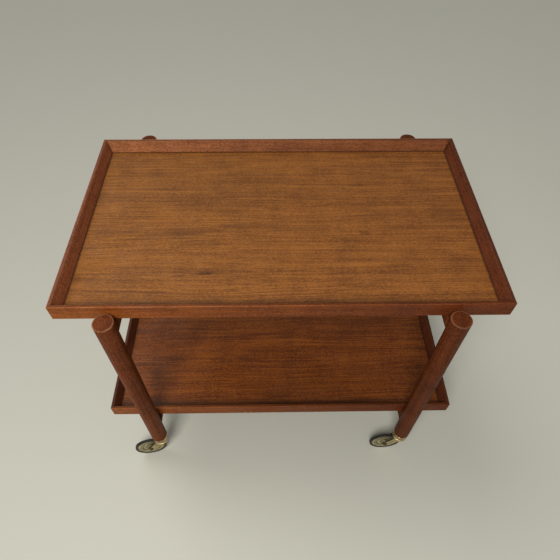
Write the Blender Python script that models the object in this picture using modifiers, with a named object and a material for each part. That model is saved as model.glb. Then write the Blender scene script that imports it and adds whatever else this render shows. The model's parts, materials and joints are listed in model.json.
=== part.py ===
"""Bar cart on wheels: two identical wooden trays between four round legs on brass swivel casters.

Two end frames, each of two legs and two cross rails, are tied by the lower tray, which is screwed
to its rails from below. The upper tray rests on its rails, kept in place by two battens, and lifts
off. Each leg stands in a brass foot cup with a swivelling fork and a thin rubber-tyred wheel.

Metres, +Z up, the origin on the floor under the middle of the cart. +X is along the trays and the
front is towards -Y.
"""

import math

import bmesh
import bpy
from mathutils import Matrix

# Overall sizes, LOWER_BASE being the height of the lower tray's underside
TOTAL_HEIGHT = 0.592
TRAY_LENGTH = 0.760
TRAY_WIDTH = 0.447
LOWER_BASE = 0.1715

# Trays: rims with a slanted inner face, mitred at the corners, and a floor let into their groove
RIM_HEIGHT = 0.0315
RIM_TOP_WIDTH = 0.0063
RIM_FLOOR_WIDTH = 0.015
FLOOR_THICKNESS = 0.008
TONGUE_THICKNESS = 0.004
TONGUE_DEPTH = 0.004
BATTEN_WIDTH = 0.012
BATTEN_HEIGHT = 0.010
BATTEN_SETBACK = 0.030
BATTEN_RAIL_PLAY = 0.0005

# Legs and cross rails
LEG_RADIUS = 0.0175
LEG_SPACING = 0.578
LEG_TRAY_PLAY = 0.0015
LEG_TOP_DROP = 0.015
LEG_TOP_ROUND = 0.0012
RAIL_RADIUS = 0.016
TENON_RADIUS = 0.010
TENON_LENGTH = 0.020

# Tray screws
SCREW_RADIUS = 0.002
SCREW_HEAD_RADIUS = 0.004
SCREW_HEAD_HEIGHT = 0.0025
SCREW_BITE = 0.015
SCREW_RECESS = 0.005

# Casters
WHEEL_RADIUS = 0.037
TREAD_WIDTH = 0.007
TYRE_THICKNESS = 0.0035
TYRE_SHOULDER = 0.0013
RIM_SEAT_WIDTH = 0.0055
HUB_RADIUS = 0.009
HUB_WIDTH = 0.0076
WEB_WIDTH = 0.004
RING_RADIUS = 0.022
RING_WIDTH = 0.005
AXLE_RADIUS = 0.003
AXLE_HEAD_RADIUS = 0.0048
AXLE_HEAD_HEIGHT = 0.0025
BUSH_WALL = 0.0015
TRAIL = 0.031
CHEEK_THICKNESS = 0.002
CHEEK_BOSS_RADIUS = 0.009
CROWN_THICKNESS = 0.003
SWIVEL_PIN_RADIUS = 0.004
SWIVEL_HEAD_HEIGHT = 0.0025
SWIVEL_PIN_BITE = 0.040
WASHER_THICKNESS = 0.001
WASHER_RADIUS = 0.012
CUP_HEIGHT = 0.015
CUP_WALL = 0.002
CUP_BASE = 0.003
CHEEK_ROUND_PULL = 0.55
CHEEK_SWEEP_PULL = 1.2
CHEEK_BACK_PULL = 0.55
CHEEK_FRONT_PULL = 0.5
CASTER_TURN_DEG = {
    "front_left": 190.9,
    "front_right": 181.0,
    "rear_left": 169.1,
    "rear_right": 179.0,
}

# Clearances
TOUCH_GAP = 0.0003
RUNNING_GAP = 0.0002
WHEEL_CHEEK_CLEARANCE = 0.0025
WHEEL_CROWN_CLEARANCE = 0.0016
HEAD_CHEEK_CLEARANCE = 0.0005

# Sides of the round pieces, and how they are merged and shaded
LEG_STEPS = 28
WHEEL_STEPS = 36
DISC_STEPS = 28
SMALL_STEPS = 16
ARC_STEPS = 3
CHEEK_CURVE_STEPS = 5
SMOOTH_ANGLE_DEG = 35
MERGE_DISTANCE = 0.00001

# Heights worked out from the sizes above
UPPER_BASE = TOTAL_HEIGHT - RIM_HEIGHT
LEG_TOP = TOTAL_HEIGHT - LEG_TOP_DROP
RAIL_DROP = TOUCH_GAP + RAIL_RADIUS
AXLE_HEIGHT = WHEEL_RADIUS * math.cos(math.pi / WHEEL_STEPS)
CROWN_BOTTOM = AXLE_HEIGHT + WHEEL_RADIUS + WHEEL_CROWN_CLEARANCE
WASHER_BOTTOM = CROWN_BOTTOM + CROWN_THICKNESS + TOUCH_GAP
CUP_BOTTOM = WASHER_BOTTOM + WASHER_THICKNESS + TOUCH_GAP
LEG_FOOT = CUP_BOTTOM + CUP_HEIGHT + TOUCH_GAP

# Places worked out from the sizes above
LEG_X = LEG_SPACING / 2
LEG_Y = TRAY_WIDTH / 2 + LEG_TRAY_PLAY + LEG_RADIUS
SCREW_Y = TRAY_WIDTH / 2 - RIM_FLOOR_WIDTH / 2
BATTEN_X = LEG_X - RAIL_RADIUS - BATTEN_RAIL_PLAY - BATTEN_WIDTH / 2
CHEEK_INSIDE = TREAD_WIDTH / 2 + WHEEL_CHEEK_CLEARANCE
CHEEK_OUTSIDE = CHEEK_INSIDE + CHEEK_THICKNESS
SWIVEL_HEAD_RADIUS = CHEEK_INSIDE - HEAD_CHEEK_CLEARANCE
CORNERS = {
    "front_left": (-1, -1),
    "front_right": (1, -1),
    "rear_left": (-1, 1),
    "rear_right": (1, 1),
}


def new_collection(name):
    """A collection linked into the scene."""
    collection = bpy.data.collections.new(name)
    bpy.context.scene.collection.children.link(collection)
    return collection


def new_material(name, colour, roughness, metallic=0.0):
    """A Principled material of one colour."""
    material = bpy.data.materials.new(name)
    material.use_nodes = True
    shader = material.node_tree.nodes["Principled BSDF"]
    shader.inputs["Base Color"].default_value = (*colour, 1.0)
    shader.inputs["Roughness"].default_value = roughness
    shader.inputs["Metallic"].default_value = metallic
    material.diffuse_color = (*colour, 1.0)
    return material


for leftover in list(bpy.data.objects):
    bpy.data.objects.remove(leftover)

PARTS = new_collection("bar_cart")
CUTTERS = new_collection("cutters")

FLOOR_WOOD = new_material("floor_veneer", (0.36, 0.17, 0.06), 0.4)
RIM_WOOD = new_material("rim_wood", (0.28, 0.09, 0.035), 0.4)
LEG_WOOD = new_material("leg_wood", (0.20, 0.07, 0.035), 0.4)
BRASS = new_material("brass", (0.55, 0.47, 0.22), 0.35, 1.0)
STEEL = new_material("steel", (0.45, 0.44, 0.42), 0.35, 1.0)
RUBBER = new_material("rubber", (0.03, 0.03, 0.03), 0.7)
NYLON = new_material("nylon", (0.65, 0.62, 0.55), 0.5)


def new_object(name, mesh, collection):
    """An object in the collection, with its round sides shaded smooth."""
    thing = bpy.data.objects.new(name, mesh)
    collection.objects.link(thing)
    if mesh is not None and mesh.polygons:
        mesh.shade_smooth()
        mesh.set_sharp_from_angle(angle=math.radians(SMOOTH_ANGLE_DEG))
    return thing


def evaluated_mesh(thing):
    """A mesh of the object as its modifiers leave it."""
    bpy.context.view_layer.update()
    graph = bpy.context.evaluated_depsgraph_get()
    return bpy.data.meshes.new_from_object(thing.evaluated_get(graph))


def mesh_of(name, modelled):
    """A mesh from a bmesh, which is freed, with its faces pointing outwards."""
    bmesh.ops.recalc_face_normals(modelled, faces=modelled.faces)
    mesh = bpy.data.meshes.new(name)
    modelled.to_mesh(mesh)
    modelled.free()
    return mesh


def box_mesh(name, size, centre=(0, 0, 0)):
    """A box of this size about the centre."""
    modelled = bmesh.new()
    stretched = Matrix.Translation(centre) @ Matrix.Diagonal((*size, 1))
    bmesh.ops.create_cube(modelled, size=1, matrix=stretched)
    return mesh_of(name, modelled)


def rod_mesh(name, radius, start, end, steps, axis="Z", across=(0, 0)):
    """A cylinder between two distances along the Y or Z axis, at the place across it."""
    turn = {"Y": Matrix.Rotation(-math.pi / 2, 4, "X"), "Z": Matrix.Identity(4)}
    middle = (start + end) / 2
    centre = {"Y": (across[0], middle, across[1]), "Z": (*across, middle)}
    modelled = bmesh.new()
    bmesh.ops.create_cone(
        modelled,
        cap_ends=True,
        segments=steps,
        radius1=radius,
        radius2=radius,
        depth=end - start,
        matrix=Matrix.Translation(centre[axis]) @ turn[axis],
    )
    return mesh_of(name, modelled)


def turned_mesh(name, profile, steps, closed=False):
    """A solid turned about Z from (radius, height) points, run from the top down its outer side."""
    mesh = bpy.data.meshes.new(name)
    points = [(radius, 0, height) for radius, height in profile]
    edges = [(i, i + 1) for i in range(len(points) - 1)]
    if closed:
        edges.append((len(points) - 1, 0))
    mesh.from_pydata(points, edges, [])
    blank = new_object(name + "_profile", mesh, CUTTERS)
    screw = blank.modifiers.new("turn", "SCREW")
    screw.axis = "Z"
    screw.steps = steps
    screw.render_steps = steps
    screw.use_merge_vertices = True
    screw.merge_threshold = MERGE_DISTANCE
    turned = evaluated_mesh(blank)
    bpy.data.objects.remove(blank)
    return turned


def combined(name, base, joined=(), cut=()):
    """The base mesh with the joined meshes added to it and the cut ones taken from it."""
    blank = new_object(name, base, CUTTERS)
    for operation, tools in (("UNION", joined), ("DIFFERENCE", cut)):
        for i, tool in enumerate(tools):
            cutter = new_object(f"{name}_{operation.lower()}_{i}", tool, CUTTERS)
            cutter.display_type = "WIRE"
            cutter.hide_render = True
            boolean = blank.modifiers.new(cutter.name, "BOOLEAN")
            boolean.operation = operation
            boolean.object = cutter
    mesh = evaluated_mesh(blank)
    blank.modifiers.clear()
    bpy.data.objects.remove(blank)
    return mesh


def place(name, mesh, material, location=(0, 0, 0), turn_deg=0.0, parent=None):
    """A part that uses the mesh, turned about Z, in its parent's frame if it has one."""
    part = new_object(name, mesh, PARTS)
    if not mesh.materials:
        mesh.materials.append(material)
    part.location = location
    part.rotation_euler = (0, 0, math.radians(turn_deg))
    part.parent = parent
    return part


def arc(centre_r, centre_z, radius, from_deg, to_deg):
    """Points of an arc in the (radius, height) plane."""
    turns = [from_deg + (to_deg - from_deg) * i / ARC_STEPS for i in range(ARC_STEPS + 1)]
    return [
        (
            centre_r + radius * math.cos(math.radians(turn)),
            centre_z + radius * math.sin(math.radians(turn)),
        )
        for turn in turns
    ]


def rim_section():
    """A rim's section as (distance in from the outer face, height above its base) points."""
    groove_half = TONGUE_THICKNESS / 2 + TOUCH_GAP
    groove_floor = RIM_FLOOR_WIDTH - TONGUE_DEPTH - TOUCH_GAP
    middle = FLOOR_THICKNESS / 2
    return [
        (0, 0),
        (RIM_FLOOR_WIDTH, 0),
        (RIM_FLOOR_WIDTH, middle - groove_half),
        (groove_floor, middle - groove_half),
        (groove_floor, middle + groove_half),
        (RIM_FLOOR_WIDTH, middle + groove_half),
        (RIM_FLOOR_WIDTH, FLOOR_THICKNESS),
        (RIM_TOP_WIDTH, RIM_HEIGHT),
        (0, RIM_HEIGHT),
    ]


def rim_mesh(name, length, across):
    """A rim along X at the -Y side of a tray this far across, its ends mitred at 45 degrees."""
    modelled = bmesh.new()
    corners = [modelled.verts.new((0, inward, up)) for inward, up in rim_section()]
    end = modelled.faces.new(corners)
    grown = bmesh.ops.extrude_face_region(modelled, geom=[end])
    far = {item for item in grown["geom"] if isinstance(item, bmesh.types.BMVert)}
    for corner in modelled.verts:
        side = 1 if corner in far else -1
        corner.co.x = side * (length / 2 - corner.co.y - TOUCH_GAP / 2)
        corner.co.y -= across / 2
    return mesh_of(name, modelled)


def floor_mesh(name):
    """A tray's floor, its top as wide as the rims leave open, with a tongue all round."""
    length = TRAY_LENGTH - 2 * (RIM_FLOOR_WIDTH + TOUCH_GAP)
    width = TRAY_WIDTH - 2 * (RIM_FLOOR_WIDTH + TOUCH_GAP)
    centre = (0, 0, FLOOR_THICKNESS / 2)
    tongue = box_mesh(
        name + "_tongue",
        (length + 2 * TONGUE_DEPTH, width + 2 * TONGUE_DEPTH, TONGUE_THICKNESS),
        centre,
    )
    board = box_mesh(name + "_board", (length, width, FLOOR_THICKNESS), centre)
    return combined(name, board, joined=[tongue])


def tray(level, base, screwed):
    """A tray's floor and four rims, with holes in the long rims for the tray screws if screwed."""
    place(f"{level}_tray_floor", floor_mesh(f"{level}_floor"), FLOOR_WOOD, (0, 0, base))
    long_rim = rim_mesh(f"{level}_long_rim", TRAY_LENGTH, TRAY_WIDTH)
    if screwed:
        pilots = [
            rod_mesh(
                f"{level}_pilot_{i}",
                SCREW_RADIUS + TOUCH_GAP,
                -SCREW_BITE,
                SCREW_BITE + TOUCH_GAP,
                SMALL_STEPS,
                across=(side * LEG_X, -SCREW_Y),
            )
            for i, side in enumerate((-1, 1))
        ]
        long_rim = combined(f"{level}_long_rim", long_rim, cut=pilots)
    short_rim = rim_mesh(f"{level}_short_rim", TRAY_WIDTH, TRAY_LENGTH)
    rims = (
        ("front", long_rim, 0),
        ("right", short_rim, 90),
        ("rear", long_rim, 180),
        ("left", short_rim, -90),
    )
    for side, mesh, turn_deg in rims:
        place(f"{level}_rim_{side}", mesh, RIM_WOOD, (0, 0, base), turn_deg)


def battens():
    """Two strips under the upper tray, just inside its cross rails."""
    length = TRAY_WIDTH - 2 * BATTEN_SETBACK
    mesh = box_mesh("batten", (BATTEN_WIDTH, length, BATTEN_HEIGHT))
    height = UPPER_BASE - TOUCH_GAP - BATTEN_HEIGHT / 2
    for side, x in (("left", -BATTEN_X), ("right", BATTEN_X)):
        place(f"tray_batten_{side}", mesh, RIM_WOOD, (x, 0, height))


def leg_mesh():
    """A round leg with a spigot for its foot cup and blind holes for two tenons and the pin."""
    cup_inside = LEG_RADIUS - CUP_WALL
    spigot_bottom = CUP_BOTTOM + CUP_BASE + TOUCH_GAP
    turned = turned_mesh(
        "leg_turned",
        [
            (0, LEG_TOP),
            *reversed(arc(LEG_RADIUS - LEG_TOP_ROUND, LEG_TOP - LEG_TOP_ROUND, LEG_TOP_ROUND, 0, 90)),
            (LEG_RADIUS, LEG_FOOT),
            (cup_inside - TOUCH_GAP, LEG_FOOT),
            (cup_inside - TOUCH_GAP, spigot_bottom),
            (0, spigot_bottom),
        ],
        LEG_STEPS,
    )
    holes = [
        rod_mesh(
            f"leg_mortise_{i}",
            TENON_RADIUS + TOUCH_GAP,
            LEG_RADIUS - TENON_LENGTH - TOUCH_GAP,
            2 * LEG_RADIUS,
            SMALL_STEPS,
            "Y",
            (0, base - RAIL_DROP),
        )
        for i, base in enumerate((UPPER_BASE, LOWER_BASE))
    ]
    holes.append(
        rod_mesh(
            "leg_pin_hole",
            SWIVEL_PIN_RADIUS + TOUCH_GAP,
            CUP_BOTTOM,
            CUP_BOTTOM + SWIVEL_PIN_BITE + TOUCH_GAP,
            SMALL_STEPS,
        )
    )
    return combined("leg", turned, cut=holes)


def rail_mesh(name, screwed):
    """A round cross rail along Y, hollowed at its ends to fit round the legs, with a tenon on each."""
    body = rod_mesh(name + "_body", RAIL_RADIUS, -LEG_Y, LEG_Y, LEG_STEPS, "Y")
    hollows = [
        rod_mesh(
            f"{name}_hollow_{i}",
            LEG_RADIUS + TOUCH_GAP,
            -2 * RAIL_RADIUS,
            2 * RAIL_RADIUS,
            LEG_STEPS,
            across=(0, side * LEG_Y),
        )
        for i, side in enumerate((-1, 1))
    ]
    shaped = combined(name + "_shaped", body, cut=hollows)
    tenon_end = LEG_Y - LEG_RADIUS + TENON_LENGTH
    tenon = rod_mesh(name + "_tenon", TENON_RADIUS, -tenon_end, tenon_end, SMALL_STEPS, "Y")
    holes = []
    if screwed:
        for i, side in enumerate((-1, 1)):
            across = (0, side * SCREW_Y)
            spots = (
                ("hole", SCREW_RADIUS + TOUCH_GAP, 2 * RAIL_RADIUS),
                ("recess", SCREW_HEAD_RADIUS + TOUCH_GAP, SCREW_RECESS - RAIL_RADIUS),
            )
            for kind, radius, top in spots:
                cutter_name = f"{name}_{kind}_{i}"
                holes.append(
                    rod_mesh(cutter_name, radius, -2 * RAIL_RADIUS, top, SMALL_STEPS, across=across)
                )
    return combined(name, shaped, joined=[tenon], cut=holes)


def end_frames():
    """Four legs and four cross rails."""
    leg = leg_mesh()
    for corner, (side_x, side_y) in CORNERS.items():
        turn_deg = 0 if side_y < 0 else 180
        place(f"leg_{corner}", leg, LEG_WOOD, (side_x * LEG_X, side_y * LEG_Y, 0), turn_deg)
    for level, base, screwed in (("upper", UPPER_BASE, False), ("lower", LOWER_BASE, True)):
        rail = rail_mesh(f"{level}_rail", screwed)
        for side, x in (("left", -LEG_X), ("right", LEG_X)):
            place(f"{level}_rail_{side}", rail, LEG_WOOD, (x, 0, base - RAIL_DROP))


def tray_screws():
    """Four screws up through the lower rails into the lower tray's long rims."""
    head_bottom = LOWER_BASE - RAIL_DROP - RAIL_RADIUS + SCREW_RECESS - TOUCH_GAP - SCREW_HEAD_HEIGHT
    head_top = head_bottom + SCREW_HEAD_HEIGHT
    screw = turned_mesh(
        "tray_screw",
        [
            (0, LOWER_BASE + SCREW_BITE),
            (SCREW_RADIUS, LOWER_BASE + SCREW_BITE - SCREW_RADIUS),
            (SCREW_RADIUS, head_top),
            (SCREW_HEAD_RADIUS, head_top),
            (SCREW_HEAD_RADIUS, head_bottom),
            (0, head_bottom),
        ],
        SMALL_STEPS,
    )
    for corner, (side_x, side_y) in CORNERS.items():
        place(f"tray_screw_{corner}", screw, STEEL, (side_x * LEG_X, side_y * SCREW_Y, 0))


def cup_mesh():
    """A brass cup round a leg's spigot, with a hole in its base for the swivel pin."""
    top = CUP_BOTTOM + CUP_HEIGHT
    hole = SWIVEL_PIN_RADIUS + TOUCH_GAP
    return turned_mesh(
        "foot_cup",
        [
            (LEG_RADIUS - CUP_WALL, top),
            (LEG_RADIUS, top),
            (LEG_RADIUS, CUP_BOTTOM + CUP_BASE / 2),
            (LEG_RADIUS - CUP_BASE / 2, CUP_BOTTOM),
            (hole, CUP_BOTTOM),
            (hole, CUP_BOTTOM + CUP_BASE),
            (LEG_RADIUS - CUP_WALL, CUP_BOTTOM + CUP_BASE),
        ],
        LEG_STEPS,
        closed=True,
    )


def swivel_pin_mesh():
    """The pin fixed up the leg, whose head under the fork's crown holds the fork."""
    top = CUP_BOTTOM + SWIVEL_PIN_BITE
    head_top = CROWN_BOTTOM - TOUCH_GAP
    return turned_mesh(
        "swivel_pin",
        [
            (0, top),
            (SWIVEL_PIN_RADIUS / 2, top),
            (SWIVEL_PIN_RADIUS, top - SWIVEL_PIN_RADIUS / 2),
            (SWIVEL_PIN_RADIUS, head_top),
            (SWIVEL_HEAD_RADIUS, head_top),
            (SWIVEL_HEAD_RADIUS / 2, head_top - SWIVEL_HEAD_HEIGHT),
            (0, head_top - SWIVEL_HEAD_HEIGHT),
        ],
        SMALL_STEPS,
    )


def ring_mesh(name, inside, outside, low, high, steps):
    """A plain ring about Z."""
    profile = [(inside, high), (outside, high), (outside, low), (inside, low)]
    return turned_mesh(name, profile, steps, closed=True)


def cheek_mesh(name, side):
    """A fork cheek: an outline in X and Z that narrows from the crown to a round boss at the axle.

    The curve's handles are as long as the boss's radius or the drop to the axle times their pulls.
    """
    crown_radius = LEG_RADIUS - RUNNING_GAP
    top_half = math.sqrt(crown_radius**2 - CHEEK_OUTSIDE**2) - TOUCH_GAP
    top = CROWN_BOTTOM + CROWN_THICKNESS / 2
    drop = top - AXLE_HEIGHT
    curve = bpy.data.curves.new(name, "CURVE")
    curve.dimensions = "2D"
    curve.fill_mode = "BOTH"
    curve.extrude = CHEEK_THICKNESS / 2
    curve.resolution_u = CHEEK_CURVE_STEPS
    outline = curve.splines.new("BEZIER")
    boss = CHEEK_BOSS_RADIUS
    round_pull = boss * CHEEK_ROUND_PULL
    back_pull = drop * CHEEK_BACK_PULL
    front_pull = drop * CHEEK_FRONT_PULL
    points = [
        ((-top_half, top), (0, 0), (0, -back_pull)),
        ((TRAIL, AXLE_HEIGHT - boss), (-boss * CHEEK_SWEEP_PULL, 0), (round_pull, 0)),
        ((TRAIL + boss, AXLE_HEIGHT), (0, -round_pull), (0, round_pull)),
        ((top_half, top), (0, -front_pull), (0, 0)),
    ]
    outline.bezier_points.add(len(points) - 1)
    outline.use_cyclic_u = True
    for knot, (at, before, after) in zip(outline.bezier_points, points):
        knot.handle_left_type = "FREE"
        knot.handle_right_type = "FREE"
        knot.co = (*at, 0)
        knot.handle_left = (at[0] + before[0], at[1] + before[1], 0)
        knot.handle_right = (at[0] + after[0], at[1] + after[1], 0)
    drawn = bpy.data.objects.new(name, curve)
    CUTTERS.objects.link(drawn)
    mesh = evaluated_mesh(drawn)
    bpy.data.objects.remove(drawn)
    modelled = bmesh.new()
    modelled.from_mesh(mesh)
    bmesh.ops.remove_doubles(modelled, verts=modelled.verts, dist=MERGE_DISTANCE)
    middle = side * (CHEEK_INSIDE + CHEEK_OUTSIDE) / 2
    upright = Matrix.Translation((0, middle, 0)) @ Matrix.Rotation(math.pi / 2, 4, "X")
    bmesh.ops.transform(modelled, matrix=upright, verts=modelled.verts)
    return mesh_of(name, modelled)


def fork_mesh():
    """The swivelling fork: a round crown with a cheek on each side of the wheel."""
    crown_radius = LEG_RADIUS - RUNNING_GAP
    crown_top = CROWN_BOTTOM + CROWN_THICKNESS
    crown = rod_mesh("fork_crown", crown_radius, CROWN_BOTTOM, crown_top, LEG_STEPS)
    cheeks = [cheek_mesh(f"fork_cheek_{i}", side) for i, side in enumerate((-1, 1))]
    holes = [
        rod_mesh(
            "fork_pin_hole",
            SWIVEL_PIN_RADIUS + RUNNING_GAP,
            CROWN_BOTTOM - CROWN_THICKNESS,
            crown_top + CROWN_THICKNESS,
            SMALL_STEPS,
        ),
        rod_mesh(
            "fork_axle_hole",
            AXLE_RADIUS + TOUCH_GAP,
            -2 * CHEEK_OUTSIDE,
            2 * CHEEK_OUTSIDE,
            SMALL_STEPS,
            "Y",
            (TRAIL, AXLE_HEIGHT),
        ),
    ]
    return combined("fork", crown, joined=cheeks, cut=holes)


def wheel_disc_mesh():
    """A brass wheel disc about Z with a hub, a raised ring on each face and a seat for the tyre."""
    bore = AXLE_RADIUS + RUNNING_GAP + BUSH_WALL + TOUCH_GAP
    outside = WHEEL_RADIUS - TYRE_THICKNESS - TOUCH_GAP
    slope = (HUB_WIDTH - WEB_WIDTH) / 2
    seat = TYRE_THICKNESS
    upper_face = [
        (bore, HUB_WIDTH / 2),
        (HUB_RADIUS, HUB_WIDTH / 2),
        (HUB_RADIUS + slope, WEB_WIDTH / 2),
        (RING_RADIUS, RING_WIDTH / 2),
        (outside - seat, WEB_WIDTH / 2),
        (outside, RIM_SEAT_WIDTH / 2),
    ]
    lower_face = [(radius, -height) for radius, height in reversed(upper_face)]
    return turned_mesh("wheel_disc", upper_face + lower_face, DISC_STEPS, closed=True)


def tyre_mesh():
    """A thin rubber tyre about Z with a flat tread and rounded shoulders."""
    inside = WHEEL_RADIUS - TYRE_THICKNESS
    shoulder = TYRE_SHOULDER
    half = TREAD_WIDTH / 2
    upper_half = [
        (inside, RIM_SEAT_WIDTH / 2),
        (inside + shoulder, half),
        (WHEEL_RADIUS - shoulder, half),
        (WHEEL_RADIUS, half - shoulder),
    ]
    lower_half = [(radius, -height) for radius, height in reversed(upper_half)]
    return turned_mesh("tyre", upper_half + lower_half, WHEEL_STEPS, closed=True)


def axle_mesh():
    """The axle rivet about Z, with a domed head outside each cheek."""
    inner = CHEEK_OUTSIDE + TOUCH_GAP
    outer = inner + AXLE_HEAD_HEIGHT
    upper_half = [
        (0, outer),
        (AXLE_HEAD_RADIUS / 2, outer),
        (AXLE_HEAD_RADIUS, inner + AXLE_HEAD_HEIGHT / 3),
        (AXLE_HEAD_RADIUS, inner),
        (AXLE_RADIUS, inner),
    ]
    lower_half = [(radius, -height) for radius, height in reversed(upper_half)]
    return turned_mesh("axle", upper_half + lower_half, SMALL_STEPS)


def on_axle(part):
    """Lays a piece that was turned about Z along the axle, with one of the tyre's flats down."""
    half_step = math.pi / WHEEL_STEPS
    part.rotation_euler = (math.pi / 2, half_step, 0)


def casters():
    """A cup, pin, washer, fork, axle, disc, bush and tyre on each leg's axis."""
    cup = cup_mesh()
    pin = swivel_pin_mesh()
    washer_hole = SWIVEL_PIN_RADIUS + TOUCH_GAP
    washer_top = WASHER_BOTTOM + WASHER_THICKNESS
    washer = ring_mesh(
        "thrust_washer", washer_hole, WASHER_RADIUS, WASHER_BOTTOM, washer_top, SMALL_STEPS
    )
    fork = fork_mesh()
    axle = axle_mesh()
    disc = wheel_disc_mesh()
    tyre = tyre_mesh()
    bush_inside = AXLE_RADIUS + RUNNING_GAP
    bush_half = CHEEK_INSIDE - TOUCH_GAP
    bush = ring_mesh(
        "wheel_bush", bush_inside, bush_inside + BUSH_WALL, -bush_half, bush_half, SMALL_STEPS
    )
    for corner, (side_x, side_y) in CORNERS.items():
        swivel = new_object(f"swivel_axis_{corner}", None, PARTS)
        swivel.location = (side_x * LEG_X, side_y * LEG_Y, 0)
        swivel.rotation_euler = (0, 0, math.radians(CASTER_TURN_DEG[corner]))
        hub = new_object(f"wheel_axis_{corner}", None, PARTS)
        hub.parent = swivel
        hub.location = (TRAIL, 0, AXLE_HEIGHT)
        place(f"foot_cup_{corner}", cup, BRASS, parent=swivel)
        place(f"swivel_pin_{corner}", pin, STEEL, parent=swivel)
        place(f"thrust_washer_{corner}", washer, NYLON, parent=swivel)
        place(f"fork_{corner}", fork, BRASS, parent=swivel)
        wheel_parts = (
            ("axle", axle, STEEL),
            ("wheel_bush", bush, STEEL),
            ("wheel_disc", disc, BRASS),
            ("tyre", tyre, RUBBER),
        )
        for kind, mesh, material in wheel_parts:
            on_axle(place(f"{kind}_{corner}", mesh, material, parent=hub))


end_frames()
tray("lower", LOWER_BASE, screwed=True)
tray_screws()
tray("upper", UPPER_BASE, screwed=False)
battens()
casters()
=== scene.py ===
"""Bar cart on wheels: the finished surfaces of its wood, brass, steel, nylon and rubber.

Metres, in the cart's own frame: +X along the trays, the front towards -Y, +Z up. Every new piece is
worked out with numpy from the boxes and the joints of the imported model, and stands for the plain
piece of the same name. The two tray floors are flat boards already, so they only get their veneer.
"""

import json
import math

import bpy
import numpy as np
from mathutils import Matrix, Vector


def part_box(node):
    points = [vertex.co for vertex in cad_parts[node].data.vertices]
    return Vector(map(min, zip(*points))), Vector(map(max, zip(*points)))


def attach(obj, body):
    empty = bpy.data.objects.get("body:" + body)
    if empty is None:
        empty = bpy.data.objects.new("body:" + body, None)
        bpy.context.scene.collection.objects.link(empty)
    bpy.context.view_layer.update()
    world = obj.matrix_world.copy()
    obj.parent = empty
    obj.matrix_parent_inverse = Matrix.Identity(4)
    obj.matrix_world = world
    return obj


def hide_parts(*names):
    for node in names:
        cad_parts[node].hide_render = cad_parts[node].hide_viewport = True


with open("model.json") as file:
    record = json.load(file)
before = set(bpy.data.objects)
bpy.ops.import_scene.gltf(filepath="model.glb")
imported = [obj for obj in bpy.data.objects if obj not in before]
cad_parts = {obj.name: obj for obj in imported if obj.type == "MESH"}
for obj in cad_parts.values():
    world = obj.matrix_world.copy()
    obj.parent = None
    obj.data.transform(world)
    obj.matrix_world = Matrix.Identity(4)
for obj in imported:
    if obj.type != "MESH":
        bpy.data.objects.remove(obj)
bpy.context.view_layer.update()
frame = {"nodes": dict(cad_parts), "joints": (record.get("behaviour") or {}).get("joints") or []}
JOINTS = {joint["name"]: joint for joint in frame["joints"]}

CORNERS = ("front_left", "front_right", "rear_left", "rear_right")
SIDES = ("front", "rear", "left", "right")
UP = np.array((0.0, 0.0, 1.0))
ALONG_Y = ((0, 1, 0), (1, 0, 0), (0, 0, 1))
ALONG_Z = ((0, 0, 1), (1, 0, 0), (0, 1, 0))

# Rims: their section, the easing of their edges and of the tray's upright corners
RIM_TOP_WIDTH = 0.0063
RIM_FLOOR_WIDTH = 0.015
FLOOR_THICKNESS = 0.008
TONGUE = 0.004
GROOVE_HALF = 0.0023
GROOVE_DEPTH = 0.0043
RIM_EASING = 0.0011
RIM_INNER_EASING = 0.0007
CORNER_EASING = 0.0016
MITRE_ZONE = 0.018

# Dirt, wear and painted light: how dirty the upper faces are, and how far a worn edge (on wood with a painted
# highlight) or a dirty joint (on the floors with a painted shade beside it) reaches
TOP_GRIME = 0.68
LEG_TOP_GRIME = 0.30
RIM_WEAR = 0.0005
CORNER_WEAR = 0.0015
LEG_WEAR = 0.0006
DISC_WEAR = 0.0005
CHEEK_WEAR = 0.35
FLOOR_DIRT = 0.0010
MITRE_DIRT = 0.0020
JOINT_DIRT_AND_SHADE = (0.0006, 0.0032)

# The painted shadow of the front rims on the floors behind them, by its distance from the cart's middle
STRIP_START = -0.2010
STRIP_END = -0.1870

# Colours that several woods or metals share
# Dirt, also the colour of the painted shadow and shade on the floors
DIRT_AND_SHADE = (0.022, 0.008, 0.003)
STAIN_AND_SHADE = (0.054, 0.017, 0.004)
PORE = (0.032, 0.010, 0.004)
WORN_AND_HIGHLIT_WOOD = (0.38, 0.180, 0.094)
RUBBED_BRASS = (0.80, 0.66, 0.36)
GREASE_AND_SHADE = (0.028, 0.022, 0.012)

# Legs, rails and what fixes them
LEG_EASING = 0.0011
SPIGOT_PLAY = 0.0023
CUP_WALL = 0.002
CUP_BASE = 0.003
PIN_RADIUS = 0.004
TOUCH_GAP = 0.0003
SCREW_RADIUS = 0.002
RECESS_RADIUS = 0.0043
RECESS_ROOM = 0.0028
DRILL_BOTTOM = 0.1
BATTEN_EASING = 0.0012
BATTEN_END = 0.004

# Casters
TYRE_THICKNESS = 0.0035
TREAD_WIDTH = 0.007
SEAT_WIDTH = 0.0055
HUB_RADIUS = 0.009
HUB_WIDTH = 0.0076
WEB_WIDTH = 0.004
RING_RADIUS = 0.022
RING_WIDTH = 0.005
AXLE_RADIUS = 0.003
AXLE_HEAD_RADIUS = 0.0048
AXLE_HEAD_HEIGHT = 0.0025
BUSH_WALL = 0.0015
CHEEK_INSIDE = 0.006
CHEEK_THICKNESS = 0.002
CHEEK_BOSS_RADIUS = 0.009
CHEEK_EASING = 0.0004
CHEEK_MARGIN = 0.0016
CROWN_THICKNESS = 0.003
RUNNING_GAP = 0.0002


# --------------------
# Outlines and surfaces


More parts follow.
